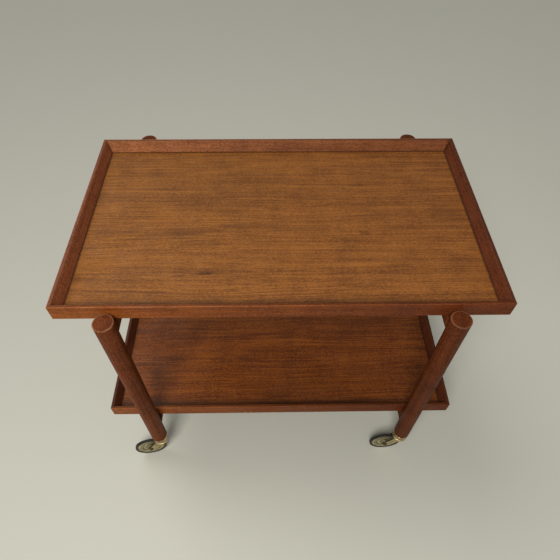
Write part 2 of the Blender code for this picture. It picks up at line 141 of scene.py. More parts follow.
def rounded(corners, radii, steps=5):
    """An outline whose corners become arcs, as points in the plane.

    An arc starts radius * tan(turn / 2) before its corner and swings through the angle between the
    two sides, about the point that is a radius to the inner side of its start.
    """
    corner = np.array(corners, float)
    radius = np.array(radii, float)
    arriving = corner - np.roll(corner, 1, axis=0)
    arriving /= np.linalg.norm(arriving, axis=1, keepdims=True)
    leaving = np.roll(arriving, -1, axis=0)
    cross = arriving[:, 0] * leaving[:, 1] - arriving[:, 1] * leaving[:, 0]
    turn = np.arctan2(cross, (arriving * leaving).sum(axis=1))
    start = corner - arriving * (radius * np.tan(abs(turn) / 2))[:, None]
    normal = np.stack([-arriving[:, 1], arriving[:, 0]], axis=1) * np.sign(turn)[:, None]
    angle = abs(turn)[:, None] * np.linspace(0, 1, steps + 1)
    ahead = radius[:, None] * np.sin(angle)
    aside = radius[:, None] * (1 - np.cos(angle))
    points = start[:, None] + arriving[:, None] * ahead[..., None] + normal[:, None] * aside[..., None]
    points = points.reshape(-1, 2)
    apart = np.linalg.norm(points - np.roll(points, 1, axis=0), axis=1) > 1e-6
    return points[apart]


def divided(outline, step, closed=True):
    """The outline with every side longer than a step cut into equal shorter ones."""
    start = outline if closed else outline[:-1]
    end = np.roll(outline, -1, axis=0)[: len(start)]
    count = np.ceil(np.linalg.norm(end - start, axis=1) / step).astype(int).clip(1)
    side = np.repeat(np.arange(len(start)), count)
    place = np.arange(count.sum()) - np.repeat(np.cumsum(count) - count, count)
    points = start[side] + (end - start)[side] * (place / count[side])[:, None]
    return points if closed else np.vstack([points, outline[-1:]])


def arris(outline, reach, closed=True):
    """How near each point is to an outer edge: 1 on it, dying away over the reach along the outline."""
    before = outline - np.roll(outline, 1, axis=0)
    after = np.roll(before, -1, axis=0)
    cross = before[:, 0] * after[:, 1] - before[:, 1] * after[:, 0]
    turn = np.arctan2(cross, (before * after).sum(axis=1))
    if not closed:
        turn[[0, -1]] = 0
    area = (outline[:, 0] * np.roll(outline[:, 1], -1) - outline[:, 1] * np.roll(outline[:, 0], -1)).sum()
    edges = turn * np.sign(area) > math.radians(8)
    if not edges.any():
        return np.zeros(len(outline))
    run = np.cumsum(np.linalg.norm(before, axis=1))
    total = run[-1]
    gap = abs(run[:, None] - run[edges][None])
    if closed:
        gap = np.minimum(gap, total - gap)
    return np.exp(-gap.min(axis=1) / reach)


def grid_faces(rows, columns, wrap_rows=False, wrap_columns=False):
    """Four-cornered faces between the points of a grid, numbered row by row."""
    row, column = np.meshgrid(
        np.arange(rows if wrap_rows else rows - 1),
        np.arange(columns if wrap_columns else columns - 1),
        indexing="ij",
    )
    next_row = (row + 1) % rows
    next_column = (column + 1) % columns
    corners = [row * columns + column, row * columns + next_column]
    corners += [next_row * columns + next_column, next_row * columns + column]
    return np.stack(corners, axis=-1).reshape(-1, 4)


def signed_volume(points, faces):
    """Six times the volume inside the faces, negative if they face inwards: the sum of a . (b x c)."""
    first, second, third = (points[faces[:, i]] for i in range(3))
    volume = (first * np.cross(second, third)).sum()
    if faces.shape[1] == 4:
        volume += (first * np.cross(third, points[faces[:, 3]])).sum()
    return volume


def shell(points, faces, caps=(), edge=None, turning=None, dirt_and_shade=None):
    """One closed surface: its points, its faces facing outwards, and what its finish needs."""
    volume = signed_volume(points - points.mean(axis=0), faces)
    faces = faces.tolist()
    for cap in caps:
        faces.append(list(cap))
    if volume < 0:
        faces = [face[::-1] for face in faces]
    edge = np.zeros(len(points)) if edge is None else edge
    turning = np.zeros((len(points), 3)) if turning is None else turning
    dirt_and_shade = np.zeros(len(points)) if dirt_and_shade is None else dirt_and_shade
    return {"points": points, "faces": faces, "edge": edge, "turning": turning, "dirt_and_shade": dirt_and_shade}


def turned(outline, steps, frame_of, closed=False, reach=0.001):
    """A surface turned about an axis: point (r, h) of the outline goes round to r cos a, r sin a, h.

    An open outline starts and ends on the axis, where the surface closes in a fan round one point.
    The frame is the axis's foot and three directions: two across the axis and the axis itself.
    """
    origin, axes = frame_of
    worn = arris(outline, reach, closed)
    ring = outline if closed else outline[1:-1]
    ring_worn = worn if closed else worn[1:-1]
    angle = np.arange(steps) * (2 * math.pi / steps)
    radius, height = ring[:, :1], ring[:, 1:]
    flat = np.stack([radius * np.cos(angle), radius * np.sin(angle), height + 0 * angle], axis=-1)
    points = flat.reshape(-1, 3)
    edge = np.repeat(ring_worn, steps)
    faces = grid_faces(len(ring), steps, wrap_rows=closed, wrap_columns=True)
    caps = []
    if not closed:
        first, last = len(points), len(points) + 1
        points = np.vstack([points, [(0, 0, outline[0, 1]), (0, 0, outline[-1, 1])]])
        edge = np.append(edge, worn[[0, -1]])
        here = np.arange(steps)
        after = (here + 1) % steps
        end_row = (len(ring) - 1) * steps
        caps += np.stack([np.full(steps, first), after, here], axis=1).tolist()
        caps += np.stack([np.full(steps, last), end_row + here, end_row + after], axis=1).tolist()
    turning = np.stack([np.hypot(points[:, 0], points[:, 1]), 0 * edge, points[:, 2]], axis=1)
    return shell(origin + points @ axes, faces, caps, edge, turning)


def swept(rows, edge, dirt_and_shade=None):
    """A closed surface through rows of points, each row a ring, its two ends closed flat."""
    count, around = rows.shape[:2]
    faces = grid_faces(count, around, wrap_columns=True)
    caps = [np.arange(around)[::-1].tolist(), (np.arange(around) + (count - 1) * around).tolist()]
    dirt_and_shade = np.zeros(edge.shape) if dirt_and_shade is None else dirt_and_shade
    return shell(rows.reshape(-1, 3), faces, caps, edge.reshape(-1), dirt_and_shade=dirt_and_shade.reshape(-1))


def placed(name, data):
    """An object in the scene that shows this mesh, light or camera."""
    thing = bpy.data.objects.new(name, data)
    bpy.context.scene.collection.objects.link(thing)
    return thing


def new_piece(name, shells, body, node, material, grain=None):
    """An object made of the shells that stands for the CAD node, rides on its body and has a finish.

    Its points carry how near a worn edge they are, on wood also a painted highlight, how much dirt and
    painted shade darken them, where they lie across and along the lathe, and, for wood, where they lie in the
    plank: along the grain first.
    """
    mesh = bpy.data.meshes.new(name)
    points = np.vstack([part["points"] for part in shells])
    faces = []
    start = 0
    for part in shells:
        faces += [[start + corner for corner in face] for face in part["faces"]]
        start += len(part["points"])
    mesh.from_pydata(points.tolist(), [], faces)
    mesh.shade_smooth()
    for label in ("edge", "dirt_and_shade"):
        near = mesh.attributes.new(label, "FLOAT", "POINT")
        near.data.foreach_set("value", np.concatenate([part[label] for part in shells]))
    lathe = mesh.attributes.new("lathe", "FLOAT_VECTOR", "POINT")
    lathe.data.foreach_set("vector", np.vstack([part["turning"] for part in shells]).ravel())
    if grain is not None:
        directions, offset = grain
        plank = mesh.attributes.new("plank", "FLOAT_VECTOR", "POINT")
        plank.data.foreach_set("vector", (points @ np.array(directions, float).T + offset).ravel())
    mesh.materials.append(material)
    thing = placed(name, mesh)
    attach(thing, body)
    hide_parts(node)
    return thing


def box_of(node):
    """A node's lowest and highest corners as arrays."""
    low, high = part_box(node)
    return np.array(low), np.array(high)


def round_box(node):
    """The bottom, the top and the radius of an upright round node."""
    low, high = box_of(node)
    return low[2], high[2], (high[0] - low[0]) / 2


def upright(x, y):
    """The frame of an upright turned piece: its axis's foot on the floor, and X, Y and Z."""
    return np.array((x, y, 0.0)), np.eye(3)


def through(node):
    """The upright frame through a node's middle."""
    low, high = box_of(node)
    return upright(*(low + high)[:2] / 2)


def on_pivot(corner):
    """The upright frame on a caster's swivel axis."""
    return upright(*JOINTS[f"caster_turn_{corner}"]["pos_m"][:2])


def wheel_frame(corner):
    """The frame of a piece turned about the axle: the axle's middle, two directions across, the axle."""
    wheel = JOINTS[f"wheel_spin_{corner}"]
    axle = np.array(wheel["axis"], float)
    return np.array(wheel["pos_m"], float), np.array((np.cross(axle, UP), UP, axle))


def turned_piece(made, node, rides, axis, corners, radii, step, around, closed=True):
    """A piece turned about an axis from its outline's corners, each eased by its radius.

    What it rides on is its body, its material slot, which is not used, and its material.
    """
    body, slot, material = rides
    outline = divided(rounded(corners, radii), step, closed)
    new_piece(f"{made}_{node}", [turned(outline, around, axis, closed)], body, node, material)


# --------------------
# Shader building


def new_group(name, inputs, outputs):
    """A shader node group with these sockets, and the sockets themselves as seen from inside it.

    An input's kind follows from its first value: four numbers a colour, three a vector, one a float.
    """
    tree = bpy.data.node_groups.new(name, "ShaderNodeTree")
    for label, value in inputs.items():
        kind = {1: "Float", 3: "Vector", 4: "Color"}[np.size(value)]
        socket = tree.interface.new_socket(label, in_out="INPUT", socket_type=f"NodeSocket{kind}")
        socket.default_value = value
    for label in outputs:
        kind = "Color" if label == "Color" else "Float"
        tree.interface.new_socket(label, in_out="OUTPUT", socket_type=f"NodeSocket{kind}")
    return tree, tree.nodes.new("NodeGroupInput").outputs, tree.nodes.new("NodeGroupOutput").inputs


def feed(tree, socket, value):
    """Links an output to the socket, or sets the socket's own value."""
    if isinstance(value, bpy.types.NodeSocket):
        tree.links.new(value, socket)
    else:
        socket.default_value = value


def use_group(tree, group, **values):
    """A placed group with these inputs, and its outputs."""
    placed = tree.nodes.new("ShaderNodeGroup")
    placed.node_tree = group
    for label, value in values.items():
        feed(tree, placed.inputs[label.replace("_", " ")], value)
    return placed.outputs


def calc(tree, operation, first, second=0.0, third=0.0, clamp=False):
    """A number worked out from up to three others."""
    made = tree.nodes.new("ShaderNodeMath")
    made.operation = operation
    made.use_clamp = clamp
    for socket, value in zip(made.inputs, (first, second, third)):
        feed(tree, socket, value)
    return made.outputs[0]


def vector(tree, operation, first, second=(0, 0, 0)):
    """A vector worked out from two others."""
    made = tree.nodes.new("ShaderNodeVectorMath")
    made.operation = operation
    feed(tree, made.inputs[0], first)
    feed(tree, made.inputs[1], second)
    return made.outputs["Value" if operation == "LENGTH" else "Vector"]


def noise(tree, place, stretch, detail=2.0, roughness=0.5, output="Factor"):
    """Soft noise on a place stretched by three factors, in waves per metre."""
    made = tree.nodes.new("ShaderNodeTexNoise")
    made.inputs["Scale"].default_value = 1.0
    made.inputs["Detail"].default_value = detail
    made.inputs["Roughness"].default_value = roughness
    feed(tree, made.inputs["Vector"], vector(tree, "MULTIPLY", place, stretch))
    return made.outputs[0] if output == "Factor" else made.outputs[1]


def between(tree, value, low, high, to_low=0.0, to_high=1.0):
    """The value carried smoothly from one range to another, held at the ends."""
    made = tree.nodes.new("ShaderNodeMapRange")
    made.interpolation_type = "SMOOTHSTEP"
    labels = ("Value", "From Min", "From Max", "To Min", "To Max")
    for label, number in zip(labels, (value, low, high, to_low, to_high)):
        feed(tree, made.inputs[label], number)
    return made.outputs["Result"]


def mixed(tree, share, first, second, blend="MIX"):
    """Two colours mixed by a share."""
    made = tree.nodes.new("ShaderNodeMix")
    made.data_type = "RGBA"
    made.blend_type = blend
    feed(tree, made.inputs[0], share)
    for socket, value in ((made.inputs[6], first), (made.inputs[7], second)):
        feed(tree, socket, (*value, 1.0) if isinstance(value, tuple) and len(value) == 3 else value)
    return made.outputs[2]


def attribute(tree, name):
    """A value kept at the mesh's points."""
    made = tree.nodes.new("ShaderNodeAttribute")
    made.attribute_name = name
    return made.outputs["Vector"] if name in ("plank", "lathe") else made.outputs["Fac"]


def parts_of(tree, place):
    """The X, Y and Z of a place."""
    made = tree.nodes.new("ShaderNodeSeparateXYZ")
    feed(tree, made.inputs[0], place)
    return made.outputs


def object_place(tree, shift=(0, 0, 0)):
    """The place on the object, in metres, shifted."""
    place = tree.nodes.new("ShaderNodeTexCoord").outputs["Object"]
    return vector(tree, "ADD", place, shift)


def timber_group():
    """Wood as a solid, with its grain along the vector's X.

    A slow swirl bends the grain. Bands a few centimetres wide and fine streaks run along it, small
    flecks and short dark pores lie in it, and faint mottles cross it, all of them stretched noise.
    """
    inputs = {"Place": (0, 0, 0), "Pale": (0.3, 0.12, 0.04, 1), "Deep": (0.15, 0.05, 0.015, 1)}
    inputs |= {"Swirl": 0.02, "Band": 0.6, "Streak": 0.6, "Fleck": 0.4, "Mottle": 0.3, "Pore": 0.5}
    tree, given, result = new_group("timber", inputs, ("Color", "Pores", "Height"))
    swirl = noise(tree, given["Place"], (2.6, 7.0, 7.0), 1.0, output="Color")
    swirl = vector(tree, "SUBTRACT", swirl, (0.5, 0.5, 0.5))
    pull = tree.nodes.new("ShaderNodeVectorMath")
    pull.operation = "SCALE"
    feed(tree, pull.inputs[0], vector(tree, "MULTIPLY", swirl, (0.0, 1.0, 1.0)))
    feed(tree, pull.inputs["Scale"], given["Swirl"])
    place = vector(tree, "ADD", given["Place"], pull.outputs["Vector"])
    band = noise(tree, place, (2.0, 52, 52), 4.0, 0.6)
    streak = noise(tree, place, (3.6, 300, 300), 3.0, 0.7)
    fleck = noise(tree, place, (230, 620, 620), 2.0, 0.6)
    mottle = noise(tree, given["Place"], (26, 19, 19), 3.0, 0.6)
    pore = noise(tree, place, (85, 950, 950), 1.5, 0.6)
    tone = 0.5
    for layer, amount in ((band, "Band"), (streak, "Streak"), (fleck, "Fleck"), (mottle, "Mottle")):
        swing = calc(tree, "MULTIPLY", calc(tree, "SUBTRACT", layer, 0.5), given[amount])
        tone = calc(tree, "ADD", tone, calc(tree, "MULTIPLY", swing, 3.0))
    tone = calc(tree, "ADD", tone, 0.0, clamp=True)
    pores = between(tree, pore, 0.56, 0.70)
    pores = calc(tree, "MULTIPLY", pores, given["Pore"])
    colour = mixed(tree, tone, given["Deep"], given["Pale"])
    colour = mixed(tree, calc(tree, "MULTIPLY", pores, 0.62), colour, PORE)
    feed(tree, result["Color"], colour)
    feed(tree, result["Pores"], pores)
    feed(tree, result["Height"], calc(tree, "SUBTRACT", calc(tree, "MULTIPLY", streak, 0.25), pores))
    return tree


def wear_group():
    """Where an edge has been rubbed: the edge's nearness broken up by two sizes of noise."""
    inputs = {"Edge": 0.0, "Place": (0, 0, 0), "Amount": 0.5}
    tree, given, result = new_group("edge wear", inputs, ("Worn",))
    patch = noise(tree, given["Place"], (24, 24, 24), 2.0, 0.6)
    nick = noise(tree, given["Place"], (240, 240, 240), 2.0, 0.7)
    spread = calc(tree, "ADD", calc(tree, "MULTIPLY", patch, 1.5), calc(tree, "MULTIPLY", nick, 0.7))
    rubbed = calc(tree, "MULTIPLY", calc(tree, "MULTIPLY", spread, given["Edge"]), given["Amount"])
    feed(tree, result["Worn"], between(tree, rubbed, 0.30, 1.05))
    return tree


def grime_group():
    """Dust and polish that settled, in soft patches."""
    tree, given, result = new_group("grime", {"Place": (0, 0, 0), "Amount": 0.5}, ("Patch",))
    patch = noise(tree, given["Place"], (11, 11, 11), 4.0, 0.6)
    feed(tree, result["Patch"], calc(tree, "MULTIPLY", between(tree, patch, 0.42, 0.68), given["Amount"]))
    return tree


def tarnish_group():
    """Old metal: cloudy stains of two sizes, and fine rings left by the lathe or the polishing."""
    inputs = {"Place": (0, 0, 0), "Lathe": (0, 0, 0), "Amount": 0.5}
    tree, given, result = new_group("tarnish", inputs, ("Stain", "Rings"))
    cloud = noise(tree, given["Place"], (70, 70, 70), 4.0, 0.6)
    spot = noise(tree, given["Place"], (330, 330, 330), 2.0, 0.6)
    stain = calc(tree, "ADD", calc(tree, "MULTIPLY", cloud, 0.75), calc(tree, "MULTIPLY", spot, 0.25))
    stain = calc(tree, "MULTIPLY", between(tree, stain, 0.38, 0.62), given["Amount"])
    feed(tree, result["Stain"], stain)
    feed(tree, result["Rings"], noise(tree, given["Lathe"], (1600, 1600, 1600), 2.0, 0.7))
    return tree


TIMBER = timber_group()
WEAR = wear_group()
GRIME = grime_group()
TARNISH = tarnish_group()


def new_material(name):
    """A material, its node tree and its Principled shader."""
    material = bpy.data.materials.new(name)
    material.use_nodes = True
    tree = material.node_tree
    return material, tree, tree.nodes["Principled BSDF"].inputs


def bump(tree, shader, height, distance, strength=1.0):
    """Gives the shader a relief this deep."""
    made = tree.nodes.new("ShaderNodeBump")
    made.inputs["Distance"].default_value = distance
    made.inputs["Strength"].default_value = strength
    feed(tree, made.inputs["Height"], height)
    feed(tree, shader["Normal"], made.outputs["Normal"])


def oiled(tree, shader, colour, wood, roughness, place, gloss):
    """The finish of oiled wood: a satin gloss, duller in the pores and where hands have been."""
    handled = noise(tree, place, (14, 14, 14), 3.0, 0.6)
    dull = calc(tree, "MULTIPLY_ADD", wood["Pores"], 0.18, roughness)
    dull = calc(tree, "ADD", dull, between(tree, handled, 0.35, 0.7, -0.05, 0.09))
    feed(tree, shader["Base Color"], colour)
    feed(tree, shader["Roughness"], dull)
    shader["Specular IOR Level"].default_value = gloss
    bump(tree, shader, wood["Height"], 0.00016, 0.6)


def marks_mask(tree, place, marks):
    """Soft dark marks, stains and painted shadows, each an ellipse (x, y, half length, half width, strength)
    frayed by noise.
    """
    frayed = noise(tree, place, (60, 140, 60), 3.0, 0.65, output="Color")
    frayed = vector(tree, "MULTIPLY", vector(tree, "SUBTRACT", frayed, (0.5, 0.5, 0.5)), (0.05, 0.018, 0))
    moved = vector(tree, "ADD", place, frayed)
    total = 0.0
    for x, y, long_half, wide_half, strength in marks:
        away = vector(tree, "SUBTRACT", moved, (x, y, 0))
        away = vector(tree, "MULTIPLY", away, (1 / long_half, 1 / wide_half, 0))
        spot = between(tree, vector(tree, "LENGTH", away), 1.0, 0.15, 0.0, strength)
        total = calc(tree, "MAXIMUM", total, spot)
    return total


def joint_line(tree, place, node):
    """A dark line round a board's top, where dirt fills the joint, fading out beside it as a painted shade,
    by the distance to its edge.
    """
    wide, soft = JOINT_DIRT_AND_SHADE
    low, high = box_of(node)
    x, y, _ = parts_of(tree, place)
    half = ((high - low) / 2)[:2] - TOUCH_GAP - TONGUE
    across = calc(tree, "SUBTRACT", half[0], calc(tree, "ABSOLUTE", x))
    along = calc(tree, "SUBTRACT", half[1], calc(tree, "ABSOLUTE", y))
    return between(tree, calc(tree, "MINIMUM", across, along), soft, wide)


def rim_shadow_strip(tree, place):
    """The front rim's shadow painted on the floor behind it: a strip frayed by noise that dies out to the
    right.
    """
    x, y, _ = parts_of(tree, place)
    frayed = calc(tree, "SUBTRACT", noise(tree, place, (35, 90, 35), 3.0, 0.6), 0.5)
    strip = between(tree, calc(tree, "MULTIPLY_ADD", frayed, 0.012, y), STRIP_END, STRIP_START)
    return calc(tree, "MULTIPLY", strip, between(tree, x, 0.16, 0.38, 1.0, 0.25))


# Stains and painted shadows on the floors: x, y, half length, half width and strength
UPPER_MARKS = (
    (-0.133, -0.134, 0.034, 0.006, 0.92),
    (-0.178, -0.142, 0.016, 0.004, 0.55),
    (-0.070, -0.018, 0.060, 0.014, 0.42),
    (-0.185, -0.035, 0.070, 0.016, 0.40),
    (0.163, 0.096, 0.022, 0.008, 0.50),
    (0.092, 0.038, 0.028, 0.005, 0.50),
    (0.158, -0.040, 0.018, 0.007, 0.50),
    (0.121, -0.058, 0.060, 0.006, 0.34),
    (-0.105, 0.020, 0.045, 0.012, 0.30),
    (0.207, -0.120, 0.036, 0.014, 0.36),
    (0.335, -0.110, 0.050, 0.020, 0.32),
    (0.320, 0.010, 0.060, 0.050, 0.26),
    (0.272, 0.112, 0.040, 0.018, 0.22),
)
LOWER_MARKS = (
    # The painted shadow of the front left leg on the lower tray
    (-0.290, -0.130, 0.030, 0.040, 0.5),
    (0.010, -0.105, 0.050, 0.014, 0.35),
    (0.120, -0.060, 0.040, 0.010, 0.25),
    (-0.060, 0.060, 0.060, 0.016, 0.35),
    # Painted shade under the upper tray along the lower tray's front
    (0.040, -0.165, 0.200, 0.038, 0.30),
)


def along_cart(tree, at_left, at_right):
    """A number that goes from one value at the cart's left end to another towards its right end."""
    return between(tree, parts_of(tree, object_place(tree))[0], -0.36, 0.30, at_left, at_right)


def dimmed(tree, colour, far):
    """The colour as it is at the cart's left end, multiplied by the far colour towards its right end: painted
    shade for light falling off to the right, a painted sheen where blue is raised.
    """
    return mixed(tree, along_cart(tree, 0, 1), colour, far, "MULTIPLY")


def veneer(level, colours, look, marks, rim_shadow, shift):
    """Teak veneer on a tray's floor, its grain along the tray, with old stains and painted shadows, a dirty
    joint with a painted shade beside it, and the front rim's painted shadow.

    The colours are the pale one, the deep one, and what both are multiplied by at the right end, a painted
    shade and sheen.
    """
    material, tree, shader = new_material(f"{level}_veneer")
    pale, deep, far = colours
    place = object_place(tree)
    plank = object_place(tree, shift)
    wood = use_group(tree, TIMBER, Place=plank, Pale=pale, Deep=deep, **look)
    # Stains darken the veneer, and on the lower floor painted shadows too
    colour = mixed(tree, marks_mask(tree, place, marks), dimmed(tree, wood["Color"], far), STAIN_AND_SHADE)
    # The front rim's painted shadow on the floor behind it
    rim_shadow_on = calc(tree, "MULTIPLY", rim_shadow_strip(tree, place), rim_shadow)
    # The dirty joint round the floor, with a painted shade beside it
    line = calc(tree, "MULTIPLY", joint_line(tree, place, f"{level}_tray_floor"), 0.65)
    colour = mixed(tree, calc(tree, "MAXIMUM", rim_shadow_on, line), colour, DIRT_AND_SHADE)
    oiled(tree, shader, colour, wood, 0.50, plank, 0.18)
    return material


def solid_wood(name, pale, deep, wear, far=(1, 1, 1), gloss=0.14):
    """Solid teak, its grain along the plank, pale along its edges with rubbed wear and a painted highlight,
    dirty in its joints.

    At the cart's right end the colour is multiplied by the far one, a painted shade, and the pale edges fade
    there with their painted highlight.
    """
    material, tree, shader = new_material(name)
    plank = attribute(tree, "plank")
    look = {"Swirl": 0.02, "Band": 0.45, "Streak": 0.5, "Fleck": 0.9, "Mottle": 0.3, "Pore": 0.6}
    wood = use_group(tree, TIMBER, Place=plank, Pale=(*pale, 1), Deep=(*deep, 1), **look)
    worn = use_group(tree, WEAR, Edge=attribute(tree, "edge"), Place=plank, Amount=wear)["Worn"]
    # The pale edges fade towards the cart's right end, as their painted highlight does
    worn = calc(tree, "MULTIPLY", worn, along_cart(tree, 1.0, 0.35))
    colour = dimmed(tree, mixed(tree, worn, wood["Color"], WORN_AND_HIGHLIT_WOOD), far)
    dirty = calc(tree, "MULTIPLY", attribute(tree, "dirt_and_shade"), 0.75)
    colour = mixed(tree, dirty, colour, DIRT_AND_SHADE)
    oiled(tree, shader, colour, wood, 0.48, plank, gloss)
    return material


def brass(name, bright, dull, stained, roughness, rings=()):
    """Brass that has tarnished in patches, which on the cup also stand for a painted dark reflection, with
    fine turning rings, and dark grease in rings and along marked edges, a painted shade on the fork's cheeks.

    A ring of dirt is (radius, half width): full on the radius, gone past the half width.
    """
    material, tree, shader = new_material(name)
    place = object_place(tree)
    lathe = attribute(tree, "lathe")
    old = use_group(tree, TARNISH, Place=place, Lathe=lathe, Amount=stained)
    worn = use_group(tree, WEAR, Edge=attribute(tree, "edge"), Place=place, Amount=0.7)["Worn"]
    colour = mixed(tree, old["Stain"], bright, dull)
    colour = mixed(tree, calc(tree, "MULTIPLY", worn, 0.5), colour, RUBBED_BRASS)
    # On the fork's cheeks this darkening is a painted shade along their upper edges; the rings are grease
    dirt = attribute(tree, "dirt_and_shade")
    for radius, half_width in rings:
        away = calc(tree, "ABSOLUTE", calc(tree, "SUBTRACT", parts_of(tree, lathe)[0], radius))
        dirt = calc(tree, "MAXIMUM", dirt, between(tree, away, half_width, half_width * 0.3))
    colour = mixed(tree, calc(tree, "MULTIPLY", dirt, 0.9), colour, GREASE_AND_SHADE)
    feed(tree, shader["Base Color"], colour)
    stain = calc(tree, "MAXIMUM", old["Stain"], dirt)
    feed(tree, shader["Metallic"], calc(tree, "MULTIPLY_ADD", stain, -0.35, 1.0))
    feed(tree, shader["Roughness"], calc(tree, "MULTIPLY_ADD", stain, 0.22, roughness))
    bump(tree, shader, old["Rings"], 0.00004, 0.5)
    return material


def steel(name, bright, stained_colour, roughness):
    """Plated steel gone dull, with stains and fine turning rings."""
    material, tree, shader = new_material(name)
    place = object_place(tree)
    old = use_group(tree, TARNISH, Place=place, Lathe=attribute(tree, "lathe"), Amount=0.6)
    feed(tree, shader["Base Color"], mixed(tree, old["Stain"], bright, stained_colour))
    shader["Metallic"].default_value = 1.0
    feed(tree, shader["Roughness"], calc(tree, "MULTIPLY_ADD", old["Stain"], 0.2, roughness))
    bump(tree, shader, old["Rings"], 0.00003, 0.5)
    return material


def nylon():
    """Yellowed nylon, a little grubby."""
    material, tree, shader = new_material("yellowed_nylon")
    dirt = use_group(tree, GRIME, Place=object_place(tree), Amount=0.7)
    feed(tree, shader["Base Color"], mixed(tree, dirt["Patch"], (0.62, 0.57, 0.46), (0.30, 0.25, 0.18)))
    feed(tree, shader["Roughness"], calc(tree, "MULTIPLY_ADD", dirt["Patch"], 0.15, 0.45))
    return material


def rubber():
    """Old dark rubber, dusty on the tread, with a fine pebbled skin."""
    material, tree, shader = new_material("old_rubber")
    place = object_place(tree)
    dirt = use_group(tree, GRIME, Place=place, Amount=1.0)
    worn = use_group(tree, WEAR, Edge=attribute(tree, "edge"), Place=place, Amount=0.8)["Worn"]
    dusty = calc(tree, "MULTIPLY", dirt["Patch"], 0.6)
    colour = mixed(tree, dusty, (0.015, 0.013, 0.011), (0.040, 0.034, 0.027))
    colour = mixed(tree, calc(tree, "MULTIPLY", worn, 0.35), colour, (0.085, 0.075, 0.062))
    feed(tree, shader["Base Color"], colour)
    feed(tree, shader["Roughness"], calc(tree, "MULTIPLY_ADD", dirt["Patch"], 0.12, 0.58))
    shader["Specular IOR Level"].default_value = 0.25
    bump(tree, shader, noise(tree, place, (900, 900, 900), 2.0, 0.6), 0.00005, 0.6)
    return material


# --------------------
# Trays


def rim_section():
    """A rim's eased section as (depth in from the outer face, height), its edge wear and its dirt."""
    low, high = box_of("upper_rim_front")
    height = high[2] - low[2]
    middle = FLOOR_THICKNESS / 2
    groove = RIM_FLOOR_WIDTH - GROOVE_DEPTH
    corners = [
        (0, 0),
        (RIM_FLOOR_WIDTH, 0),
        (RIM_FLOOR_WIDTH, middle - GROOVE_HALF),
        (groove, middle - GROOVE_HALF),
        (groove, middle + GROOVE_HALF),
        (RIM_FLOOR_WIDTH, middle + GROOVE_HALF),
        (RIM_FLOOR_WIDTH, FLOOR_THICKNESS),
        (RIM_TOP_WIDTH, height),
        (0, height),
    ]
    radii = [RIM_EASING, RIM_INNER_EASING / 2, 0, 0, 0, 0, 0, RIM_INNER_EASING, RIM_EASING]
    outline = divided(rounded(corners, radii), 0.0013)
    depth, above = outline.T
    worn = arris(outline, RIM_WEAR)
    # The outer top edge is palest: rubbed wear and a painted highlight on its arris
    worn *= np.where(depth > RIM_TOP_WIDTH / 2, 0.4, 1.0) * np.where(above < height / 2, 0.6, 1.0)
    inside = depth > RIM_TOP_WIDTH + 0.0001
    dirt_and_shade = np.where(inside, np.exp(-np.maximum(above - FLOOR_THICKNESS, 0) / FLOOR_DIRT), 0.0)
    on_top = (above > height - 0.0003) & (depth > RIM_EASING)
    dirt_and_shade = np.where(on_top, TOP_GRIME, dirt_and_shade)
    return outline, np.where(inside & (above < height / 2), 0.0, worn), dirt_and_shade


def eased_end(outline, half_length):
    """Rows of a rim from its middle to its mitre, as (along, depth) for each point of its section.

    Towards the end the along value grows to the mitre, half_length less the depth. The tray's
    upright corner is eased: there the depth is no less than r - sqrt(r * r - past * past), where
    past is how far the point is beyond the start of the easing.
    """
    radius = CORNER_EASING
    depth = outline[:, 0]
    last_depth = np.maximum(depth, radius * (1 - math.sqrt(0.5)))
    zone_start = half_length - MITRE_ZONE
    straight = np.linspace(0, zone_start, 40)[:, None] + 0 * depth
    share = 1 - (1 - np.linspace(0, 1, 15)[1:, None]) ** 2
    zone = zone_start + share * (MITRE_ZONE - last_depth)
    along = np.vstack([straight, zone])
    past = np.clip(along - (half_length - radius), 0, radius)
    eased = np.maximum(depth, radius - np.sqrt(radius**2 - past**2))
    return along, eased


def rim(level, side, body, material, offset):
    """One rim: the section carried along the tray's side and cut at 45 degrees at both ends."""
    node = f"{level}_rim_{side}"
    low, high = box_of(node)
    middle = (low + high) / 2
    inward = {"front": (0, 1, 0), "rear": (0, -1, 0), "left": (1, 0, 0), "right": (-1, 0, 0)}[side]
    inward = np.array(inward, float)
    along = np.cross(inward, UP)
    outline, worn, dirt = rim_section()
    half_length = abs((high - low) @ along) / 2
    run, depth = eased_end(outline, half_length)
    run = np.vstack([-run[:0:-1], run])
    depth = np.vstack([depth[:0:-1], depth])
    face = np.where(inward > 0, low, high) * abs(inward) + middle * abs(along)
    face[2] = low[2]
    rows = face + run[..., None] * along + depth[..., None] * inward + outline[:, 1, None] * UP
    corner_worn = np.exp(-(half_length - abs(run) + depth) / CORNER_WEAR) * (depth < 0.004)
    edge = np.maximum(worn, corner_worn)
    to_mitre = half_length - depth - abs(run)
    inner_corner = np.exp(-np.maximum(to_mitre, 0) / MITRE_DIRT) * (outline[:, 0] > RIM_TOP_WIDTH / 2)
    dirt_and_shade = np.maximum(dirt, inner_corner)
    grain = ((along, inward, UP), offset)
    new_piece(f"eased_{node}", [swept(rows, edge, dirt_and_shade)], body, node, material, grain)


